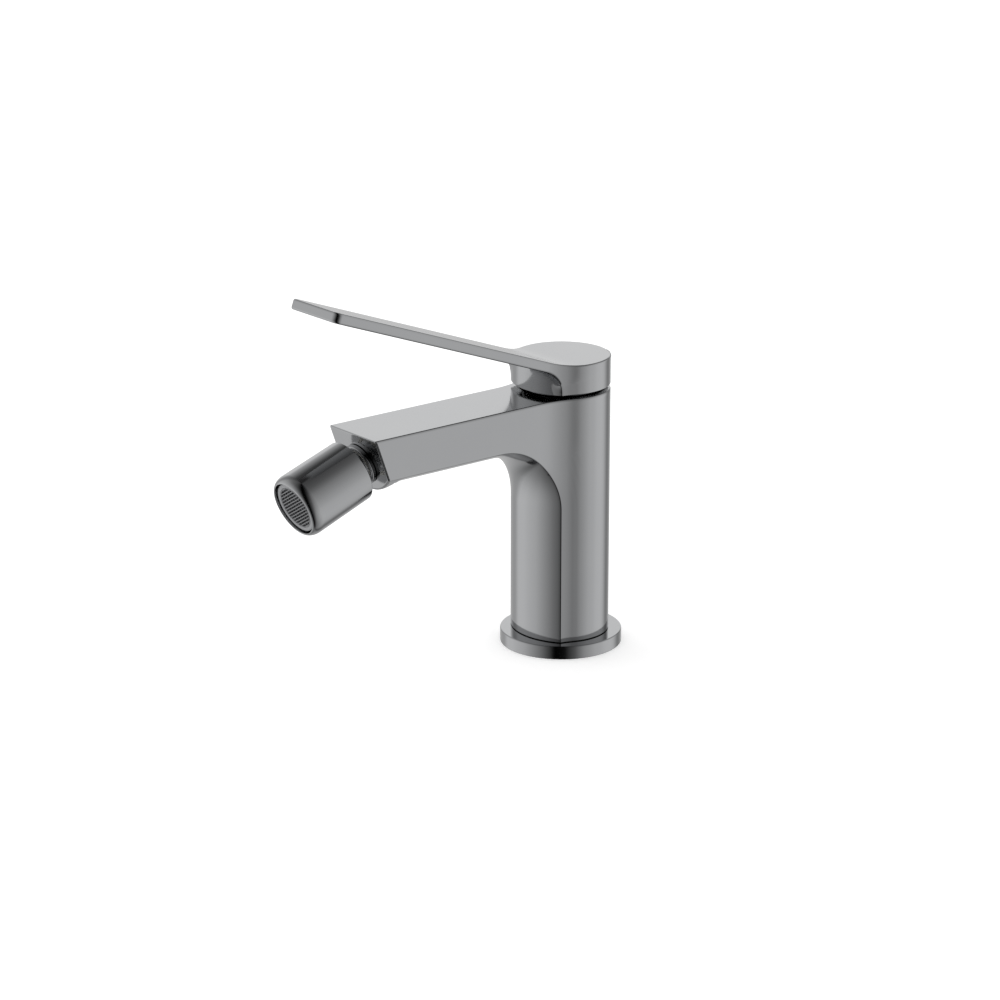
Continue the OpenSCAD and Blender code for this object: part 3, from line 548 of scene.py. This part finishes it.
def makeLever():
    bm = bmesh.new()
    room, coveS = leverForm["edgeRoom"], outlineLengthAt(coveY)
    plugRoom = leverForm["plugRoom"]
    # rows of the right wall, and of the belly, cove and blade's underside
    lines, under = [], []
    for z in steps(capLowZ, coveZ, 2):
        lines.append(wallLine((creaseS, z), (plugRoom, z), room, 16))
        under.append([Vector((x, -plan["creaseY"] - bulge(x), z)) for x in across(creaseX, room)])
    bladeS = outlineLengthAt(bendEndY)
    bendS = plan["backRadius"] * (math.pi / 2 + math.asin(-bendStartY / plan["backRadius"]))
    lastS = coveS - (leverForm["coveRadius"] + leverForm["thickness"]) * math.sin(leverForm["rise"])
    backHeights = steps(coveZ, capTopZ, 6)[1:]
    upper = [(plugRoom, z) for z in backHeights]
    topSteps = steps(plugRoom, bendS, 26)[1:] + steps(bendS, bladeS, 12)[1:] + [lastS]
    upper += [(s, leverTop(outlineAt(s)[1])) for s in topSteps]
    for s, z in upper:
        a = math.atan2(z - coveZ, coveS - s)
        edge = coveEdge(a)
        lines.append(wallLine((outlineLengthAt(edge.y), edge.z), (s, z), room, 16))
        under.append([covePoint(x, a) for x in across(edge.x, room)])
    # the blade's edge is square to its face, round to the middle of the tip
    cornerX, cornerY = plan["halfWidth"] - leverForm["tipRound"], tipY + leverForm["tipRound"]
    straight = [(widthAt(y), y) for y in steps(outlineAt(lastS)[1], cornerY, 44)[1:]]
    corner = [(cornerX + leverForm["tipRound"] * math.cos(a), cornerY - leverForm["tipRound"] * math.sin(a))
              for a in steps(0, math.pi / 2, 8)[1:]]
    for x, y in straight + corner + [(0, tipY)]:
        top = Vector((x, y, leverTop(y)))
        low = top + bladeDrop
        lines.append([low.lerp(top, t) for t in shares(leverForm["thickness"], room, 16)])
    for x, y in straight:
        low = Vector((0, y, leverTop(y))) + bladeDrop
        under.append([Vector((t, low.y, low.z)) for t in across(x, room)])
    addBoth(bm, lines)
    addGrid(bm, under)
    # back of the cap, in rings round the plug's hole
    border = [(s, capLowZ) for s in steps(0, plugRoom, 6)]
    border += [(plugRoom, z) for z in steps(capLowZ, coveZ, 2)[1:] + backHeights]
    border += [(s, capTopZ) for s in steps(plugRoom, 0, 6)[1:]]
    hole = [Vector((s, z - plugZ)).normalized() * leverForm["plugRadius"] for s, z in border]
    rings = [[Vector((*outlineAt(h.x + (s - h.x) * t), plugZ + h.y + (z - plugZ - h.y) * t))
              for h, (s, z) in zip(hole, border)] for t in steps(0, 1, 5)]
    floor = [Vector((p.x, plan["backRadius"] - leverForm["plugDepth"], p.z)) for p in rings[0]]
    addBoth(bm, [floor] + rings)
    addBothFaces(bm, floor)
    backLow, backTop = rings[-1][:6], rings[-1][:-7:-1]
    rim = backTop + [line[-1] for line in lines if line[-1].z > capTopZ - 0.001]
    capRim = [p for p in rim if p.y > bendStartY - 0.001]
    bladeRim = [p for p in rim if cornerY - 0.001 < p.y < bendStartY + 0.001]
    rows = [[Vector((x, p.y, p.z)) for x in across(p.x, room)] for p in bladeRim]
    addGrid(bm, rows)
    addFace(bm, capRim + rows[0][1:-1] + mirrored(capRim)[:0:-1])
    tip = [line[-1] for line in lines[-10:]]
    addFace(bm, tip + mirrored(tip)[-2::-1] + rows[-1][1:-1][::-1])
    tip = [line[0] for line in lines[-10:]]
    addFace(bm, tip + mirrored(tip)[-2::-1] + under[-1][1:-1][::-1])

    # hollow of the cap, wide below so that it clears the column's rim when the lever lifts
    def hollowLoop(radius, z):
        front = leverForm["hollowFront"]
        half = math.sqrt(radius * radius - front * front)
        start = math.atan2(front, half)
        flat = [Vector((0, front, z)), Vector((half / 2, front, z))]
        return flat + circle(0, 0, z, radius, start, math.pi / 2, 48)

    wide, narrow = leverForm["hollowRadius"], leverForm["hollowUpper"]
    loops = [hollowLoop(wide, capLowZ), hollowLoop(narrow, capLowZ + leverForm["hollowRise"]),
             hollowLoop(narrow, capLowZ + leverForm["hollowHeight"])]
    addBoth(bm, loops)
    addBothFaces(bm, loops[-1])
    middle = len(under[0]) // 2
    addBothFaces(bm, backLow + lines[0][::-1] + under[0][1:middle + 1] + loops[0])
    weld(bm)
    roundEdges(bm, leverForm["creaseRound"], leverForm["edgeRound"], lambda e: all(
        v.co.y < -plan["creaseY"] + 0.5 or v.co.z > capTopZ - 0.01 for v in e.verts)
        and max(v.co.z for v in e.verts) > capLowZ + 0.01)
    finishPiece("leverHandle", bm, satinGunmetal, "lever", ["lever_handle"])


def makeBoss():
    bm = bmesh.new()
    radius = leverForm["bossRadius"]
    low, high = capLowZ + leverForm["bossGap"], capLowZ + leverForm["hollowHeight"]
    lathe(bm, [(0.0, low), (radius, low), (radius, high), (0.0, high)], 64)
    weld(bm)
    finishPiece("leverBoss", bm, satinGunmetal, "lever", None)


plugForm = dict(innerRound=0.1, faceRound=0.4)


def makePlug():
    bm = bmesh.new()
    radius = (plugHigh.x - plugLow.x) / 2
    lathe(bm, softCorners([
        (0.0, plugLow.y, 0), (radius, plugLow.y, plugForm["innerRound"]),
        (radius, plugHigh.y, plugForm["faceRound"]), (0.0, plugHigh.y, 0)]), 64)
    weld(bm)
    place = Matrix.Translation((0, 0, plugZ)) @ Matrix.Rotation(-math.pi / 2, 4, "X")
    bmesh.ops.transform(bm, matrix=place, verts=bm.verts)
    finishPiece("screwPlug", bm, satinGunmetal, "lever", ["screw_plug"])


makeLever()
makeBoss()
makePlug()


# Round pieces on the column's axis

flangeHigh = boxMm("base_flange")[1]
flangeForm = dict(radius=flangeHigh.x, height=flangeHigh.z, bore=16.55, edgeRound=0.5, footRound=0.3,
                  sealRadius=22.5, sealHalf=1.35, sealDepth=1.9)


def makeFlange():
    bm = bmesh.new()
    bore, radius, height = flangeForm["bore"], flangeForm["radius"], flangeForm["height"]
    low = flangeForm["sealRadius"] - flangeForm["sealHalf"]
    high, deep = flangeForm["sealRadius"] + flangeForm["sealHalf"], flangeForm["sealDepth"]
    lathe(bm, softCorners([
        (bore, 0, 0), (low, 0, 0), (low, deep, 0), (high, deep, 0), (high, 0, 0),
        (radius, 0, flangeForm["footRound"]), (radius, height, flangeForm["edgeRound"]),
        (bore, height, 0)]), 192)
    weld(bm)
    finishPiece("baseFlange", bm, satinGunmetal, "mixer_body", ["base_flange"])


ringLow, ringHigh = boxMm("trim_ring")
ringForm = dict(radius=ringHigh.x - 1.6, bore=15.2, edgeRound=0.35, boreRound=0.3)


def makeTrimRing():
    bm = bmesh.new()
    lathe(bm, softCorners([
        (ringForm["bore"], ringLow.z, 0), (ringForm["radius"], ringLow.z, 0),
        (ringForm["radius"], ringHigh.z, ringForm["edgeRound"]),
        (ringForm["bore"], ringHigh.z, ringForm["boreRound"])]), 160)
    weld(bm)
    # the ring's darker grey is partly painted shade of the gap between cap and spout
    finishPiece("trimRing", bm, darkTrimAndGapShade, "mixer_body", ["trim_ring"])


makeFlange()
makeTrimRing()


# Outlet, along its own axis from the spout's end face

joints = {j["name"]: j for j in frame["joints"]}
panAxis = Vector(joints["outlet_pan"]["axis"])
tiltAxis = Vector(joints["outlet_tilt"]["axis"])
outletAxis = tiltAxis.cross(panAxis).normalized()
ballCentre = Vector(joints["outlet_tilt"]["pos_m"]) / mm
# values that several pieces of the outlet share
outletForm = dict(ballOut=10.4, threadRadius=10.36, cageFront=28.2, cageEnd=36.5)
outletPlace = Matrix((tiltAxis, panAxis, outletAxis)).transposed().to_4x4()
outletPlace.translation = ballCentre - outletAxis * outletForm["ballOut"]


def finishTurned(name, bm, finish, body, replaced):
    # for a piece turned about the outlet's axis
    weld(bm)
    bmesh.ops.transform(bm, matrix=outletPlace, verts=bm.verts)
    finishPiece(name, bm, finish, body, replaced)


stubForm = dict(ballRadius=9, ballFlat=7, bore=4, grooveHalf=0.9, grooveDepth=1.4, neckRadius=5.6,
                collarRadius=9.2, collarSide=1.5, collarDome=1.7, collarGap=0.35, shankRadius=7.9,
                shankDepth=6)


def makeBallStub():
    bm = bmesh.new()
    ball, out, bore = stubForm["ballRadius"], outletForm["ballOut"], stubForm["bore"]
    neck, shank, depth = stubForm["neckRadius"], stubForm["shankRadius"], stubForm["shankDepth"]
    collar, gap, side = stubForm["collarRadius"], stubForm["collarGap"], stubForm["collarSide"]
    half, deep, flat = stubForm["grooveHalf"], ball - stubForm["grooveDepth"], stubForm["ballFlat"]
    groove = math.asin(half / ball)

    def ballArc(start, end, count):
        return [(ball * math.cos(a), out + ball * math.sin(a)) for a in steps(start, end, count)]

    profile = [(bore, -depth), (shank, -depth), (shank, gap), (collar, gap)]
    profile += [(neck + (collar - neck) * math.cos(a), side + stubForm["collarDome"] * math.sin(a))
                for a in steps(0, math.pi / 2, 14)]
    profile += ballArc(-math.acos(neck / ball), -groove, 20) + [(deep, out - half), (deep, out + half)]
    profile += ballArc(groove, math.asin(flat / ball), 16) + [(bore, out + flat)]
    lathe(bm, profile)
    finishTurned("ballStub", bm, satinGunmetal, "mixer_body", ["ball_stub"])


housingForm = dict(out=6, rearRadius=13.6, wideRadius=13.9, rearRound=0.5, rearBore=8.9, boreRound=0.3,
                   seatStart=7.2, seatEnd=9.5, lipOut=33.2, lipLength=4.4, lipTurn=math.radians(84),
                   mouthRadius=11.7)


def makeHousing():
    bm = bmesh.new()
    mouth, bore, wide = housingForm["mouthRadius"], outletForm["threadRadius"], housingForm["wideRadius"]
    rearBore, out, lipOut = housingForm["rearBore"], housingForm["out"], housingForm["lipOut"]
    profile = softCorners([
        (mouth, outletForm["cageFront"], 0), (bore, outletForm["cageFront"], 0),
        (bore, housingForm["seatEnd"], 0), (rearBore, housingForm["seatStart"], 0),
        (rearBore, out, housingForm["boreRound"]),
        (housingForm["rearRadius"], out, housingForm["rearRound"]), (wide, lipOut, 0)])
    profile += [(mouth + (wide - mouth) * math.cos(a), lipOut + housingForm["lipLength"] * math.sin(a))
                for a in steps(0, housingForm["lipTurn"], 28)[1:]]
    lipEnd = profile[-1][1]
    profile += [(mouth + 0.08, lipEnd - 0.04), (mouth, lipEnd - 0.15)]  # breaks the mouth's sharp edge
    lathe(bm, profile, 160)
    finishTurned("swivelHousing", bm, satinGunmetal, "outlet", ["swivel_housing"])


cageForm = dict(out=20.2, radius=11, bore=9.4, seatGap=0.05, rearRound=0.3, stepRound=0.2, frontRound=0.25,
                boreRound=0.15)


def makeCage():
    bm = bmesh.new()
    bore, wide, out, end = cageForm["bore"], cageForm["radius"], cageForm["out"], outletForm["cageEnd"]
    thread = outletForm["threadRadius"] - cageForm["seatGap"]
    front = outletForm["cageFront"] + cageForm["seatGap"]
    lathe(bm, softCorners([
        (bore, out, 0), (thread, out, cageForm["rearRound"]), (thread, front, 0),
        (wide, front, cageForm["stepRound"]), (wide, end, cageForm["frontRound"]),
        (bore, end, cageForm["boreRound"])]))
    finishTurned("aeratorCage", bm, greyAcetal, "outlet", ["aerator_cage"])


gridForm = {"Rim Outer": 9.35, "Rim Inner": 8.9, "Bar Reach": 9.1, "Bars": 15, "Bar Pitch": 1.25, "Stays": 7,
            "Stay Pitch": 2.5, "Bar Width": 0.5, "Depth": 1.6, "Turn": math.radians(30)}


def makeGrid():
    # light bars in one direction, held by half-deep stays behind them, in a thin rim
    tree, size = newTree("gridBars", gridForm)

    def row(count, pitch, depth, lift, turn):
        half = calc(tree, "MULTIPLY_ADD", count, 0.5, -0.5)
        far = calc(tree, "MULTIPLY", half, pitch)
        near = calc(tree, "MULTIPLY", far, -1.0)
        line = addNode(tree, "GeometryNodeMeshLine", {
            "Count": count, "Start Location": vectorOf(tree, y=near),
            "Offset": vectorOf(tree, y=far)}, mode="END_POINTS").outputs[0]
        spot = addNode(tree, "GeometryNodeInputPosition").outputs[0]
        aside = addNode(tree, "ShaderNodeSeparateXYZ", {0: spot}).outputs[1]
        square = calc(tree, "MULTIPLY", aside, aside)
        whole = calc(tree, "MULTIPLY", size["Bar Reach"], size["Bar Reach"])
        left = calc(tree, "SUBTRACT", whole, square)
        reach = calc(tree, "SQRT", left)
        ends = addNode(tree, "GeometryNodeCurvePrimitiveLine", {
            "Start": (-1, 0, 0), "End": (1, 0, 0)}).outputs[0]
        section = addNode(tree, "GeometryNodeCurvePrimitiveQuadrilateral", {
            "Width": size["Bar Width"], "Height": depth}).outputs[0]
        soft = addNode(tree, "GeometryNodeFilletCurve", {
            "Curve": section, "Radius": 0.12, "Count": 2}, mode="POLY").outputs[0]
        bar = addNode(tree, "GeometryNodeCurveToMesh", {
            "Curve": ends, "Profile Curve": soft, "Fill Caps": True}).outputs[0]
        bars = addNode(tree, "GeometryNodeInstanceOnPoints", {
            "Points": line, "Instance": bar,
            "Scale": vectorOf(tree, x=reach, y=1.0, z=1.0)}).outputs[0]
        drop = calc(tree, "MULTIPLY", size["Depth"], lift)
        return addNode(tree, "GeometryNodeTransform", {
            "Geometry": bars, "Translation": vectorOf(tree, z=drop),
            "Rotation": (0, 0, turn)}).outputs[0]

    halfDepth = calc(tree, "MULTIPLY", size["Depth"], 0.5)
    bars = row(size["Bars"], size["Bar Pitch"], size["Depth"], -0.5, 0)
    stays = row(size["Stays"], size["Stay Pitch"], halfDepth, -0.75, math.pi / 2)
    wide = calc(tree, "SUBTRACT", size["Rim Outer"], size["Rim Inner"])
    middle = calc(tree, "MULTIPLY_ADD", wide, -0.5, size["Rim Outer"])
    ring = addNode(tree, "GeometryNodeCurvePrimitiveCircle", {
        "Resolution": 96, "Radius": middle}).outputs[0]
    section = addNode(tree, "GeometryNodeCurvePrimitiveQuadrilateral", {
        "Width": wide, "Height": size["Depth"]}).outputs[0]
    rim = addNode(tree, "GeometryNodeCurveToMesh", {"Curve": ring, "Profile Curve": section}).outputs[0]
    below = calc(tree, "MULTIPLY", halfDepth, -1.0)
    rim = addNode(tree, "GeometryNodeTransform", {
        "Geometry": rim, "Translation": vectorOf(tree, z=below)}).outputs[0]
    both = addNode(tree, "GeometryNodeJoinGeometry")
    for part in (rim, stays, bars):
        tree.links.new(part, both.inputs[0])
    turned = addNode(tree, "GeometryNodeTransform", {
        "Geometry": both.outputs[0], "Rotation": vectorOf(tree, z=size["Turn"])}).outputs[0]
    bm = bmesh.new()
    place = outletPlace @ Matrix.Translation((0, 0, outletForm["cageEnd"]))
    growTree(bm, tree, turned, slateAcetal, gridForm, place)
    finishPiece("outletGrid", bm, slateAcetal, "outlet", ["outlet_grid"])


makeBallStub()
makeHousing()
makeCage()
makeGrid()


# Studio: pale floor, soft lamp, and a surround that is dark behind the camera and bright elsewhere

studio = dict(cameraPlace=(1.08793, -0.91542, 0.52243), cameraBack=(0.73968, -0.59898, 0.30675),
              lens=123.24, sensor=36, floorColour="#f7f7f7", floorRadius=4, floorLift=0.26, fibreMm=3,
              lampPower=1.5, lampSize=0.8, lampPlace=(-0.5, -0.3, 0.9), roomLevel=0.95,
              backdropStart=math.radians(140), backdropFull=math.radians(168))
# brightness round the horizon, by degrees to the left and right of the camera's own side
surround = [(-180, 0.45), (-145, 0.5), (-135, 0.56), (-122, 0.88), (-105, 0.9), (-75, 0.74), (-45, 0.38),
            (-27, 0.14), (-15, 0.01), (-10, 0.0), (8, 0.01), (27, 0.16), (45, 0.49), (69, 0.74), (81, 0.78),
            (93, 0.87), (108, 0.89), (118, 0.8), (135, 0.33), (150, 0.31), (168, 0.34), (180, 0.45)]
# share of that brightness by degrees above the horizon
heights = [(-90, 0.2), (-80, 0.3), (-70, 0.41), (-60, 0.54), (-50, 0.7), (-40, 0.85), (-30, 0.95),
           (-20, 1.0), (-10, 0.98), (0, 0.91), (10, 0.86), (20, 0.78), (30, 0.69), (40, 0.58), (50, 0.41),
           (60, 0.28), (70, 0.21), (90, 0.08)]
# brightness of the backdrop behind the object, by degrees above the horizon
backdrop = [(-90, 0.25), (-70, 0.37), (-60, 0.45), (-50, 0.5), (-40, 0.53), (-20, 0.55), (-10, 0.6),
            (0, 0.85), (10, 0.93), (17, 1.0), (22, 0.97), (30, 0.65), (40, 0.47), (50, 0.25),
            (60, 0.07), (90, 0.01)]


def makeCamera():
    camera = bpy.data.objects.new("camera", bpy.data.cameras.new("camera"))
    scene.collection.objects.link(camera)
    camera.data.lens, camera.data.sensor_width = studio["lens"], studio["sensor"]
    camera.data.clip_start, camera.data.clip_end = 0.05, 20
    camera.location = studio["cameraPlace"]
    camera.rotation_euler = (-Vector(studio["cameraBack"])).to_track_quat("-Z", "Y").to_euler()
    scene.camera = camera


def makeSurround():
    world = bpy.data.worlds.new("studio")
    world.use_nodes = True
    tree = world.node_tree
    tree.nodes.clear()
    world.cycles.sampling_method = "NONE"  # mirror rays see only the surround, not the room's even level
    scene.world = world
    side = math.atan2(studio["cameraBack"][1], studio["cameraBack"][0])
    look = addNode(tree, "ShaderNodeTexCoord").outputs["Generated"]
    turned = addNode(tree, "ShaderNodeVectorRotate", {
        "Vector": look, "Angle": -side}, rotation_type="Z_AXIS").outputs[0]
    axes = addNode(tree, "ShaderNodeSeparateXYZ", {0: turned}).outputs
    azimuth = calc(tree, "ARCTAN2", axes[1], axes[0])
    height = calc(tree, "ARCSINE", axes[2])
    ramps = []
    for angle, span, stops in ((azimuth, 180, surround), (height, 90, heights), (height, 90, backdrop)):
        share = addNode(tree, "ShaderNodeMapRange", {
            0: angle, 1: -math.radians(span), 2: math.radians(span)}).outputs[0]
        ramp = addNode(tree, "ShaderNodeValToRGB", {0: share})
        marks = ramp.color_ramp.elements
        marks.remove(marks[1])
        for k, (degrees, level) in enumerate(stops):
            place = (degrees + span) / (2 * span)
            mark = marks[0] if k == 0 else marks.new(place)
            mark.position, mark.color = place, (level, level, level, 1)
        ramps.append(ramp.outputs[0])
    lit = calc(tree, "MULTIPLY", ramps[0], ramps[1])
    away = calc(tree, "ABSOLUTE", azimuth)
    behind = addNode(tree, "ShaderNodeMapRange", {
        0: away, 1: studio["backdropStart"], 2: studio["backdropFull"], 3: 0.0, 4: 1.0},
        interpolation_type="SMOOTHSTEP").outputs[0]
    shown = addNode(tree, "ShaderNodeMix", {0: behind, 2: lit, 3: ramps[2]}, data_type="FLOAT").outputs[0]
    path = addNode(tree, "ShaderNodeLightPath").outputs
    mirrorRay = calc(tree, "MAXIMUM", path["Is Glossy Ray"], path["Is Transmission Ray"])
    level = addNode(tree, "ShaderNodeMix", {
        0: mirrorRay, 2: studio["roomLevel"], 3: shown}, data_type="FLOAT").outputs[0]
    white = addNode(tree, "ShaderNodeMix", {
        0: path["Is Camera Ray"], 2: level, 3: 1.0}, data_type="FLOAT").outputs[0]
    background = addNode(tree, "ShaderNodeBackground", {"Color": (1, 1, 1, 1), "Strength": white})
    addNode(tree, "ShaderNodeOutputWorld", {"Surface": background.outputs[0]})


def makeFloor():
    bm = bmesh.new()
    bmesh.ops.create_circle(bm, cap_ends=True, segments=96, radius=studio["floorRadius"])
    mesh = bpy.data.meshes.new("floor")
    bm.to_mesh(mesh)
    bm.free()
    floor = bpy.data.objects.new("floor", mesh)
    scene.collection.objects.link(floor)
    floor.visible_glossy = False
    finish, tree, place = newFinish("palePaper")  # smooth matt paper
    fibre = addNode(tree, "ShaderNodeTexNoise", {
        "Vector": place, "Scale": perMetre(studio["fibreMm"]), "Detail": 2.0})
    bump = addNode(tree, "ShaderNodeBump", {"Height": fibre.outputs[0], "Distance": 0.00002})
    paper = addNode(tree, "ShaderNodeBsdfDiffuse", {
        "Color": linear(studio["floorColour"]), "Normal": bump.outputs[0]})
    seen = addNode(tree, "ShaderNodeLightPath").outputs["Is Camera Ray"]
    lift = calc(tree, "MULTIPLY", seen, studio["floorLift"])
    # a little glow to the eye, so that the floor is white and keeps a weak shadow
    glow = addNode(tree, "ShaderNodeEmission", {"Color": (1, 1, 1, 1), "Strength": lift})
    both = addNode(tree, "ShaderNodeAddShader", {0: paper.outputs[0], 1: glow.outputs[0]})
    addNode(tree, "ShaderNodeOutputMaterial", {"Surface": both.outputs[0]})
    mesh.materials.append(finish)


def makeLamp():
    lamp = bpy.data.objects.new("softLamp", bpy.data.lights.new("softLamp", "AREA"))
    scene.collection.objects.link(lamp)
    lamp.data.energy, lamp.data.size = studio["lampPower"], studio["lampSize"]
    lamp.location = studio["lampPlace"]
    lamp.rotation_euler = (-Vector(studio["lampPlace"])).to_track_quat("-Z", "Y").to_euler()
    lamp.visible_glossy = False


makeCamera()
makeSurround()
makeFloor()
makeLamp()
scene.view_settings.view_transform = "Standard"
print("studio made")
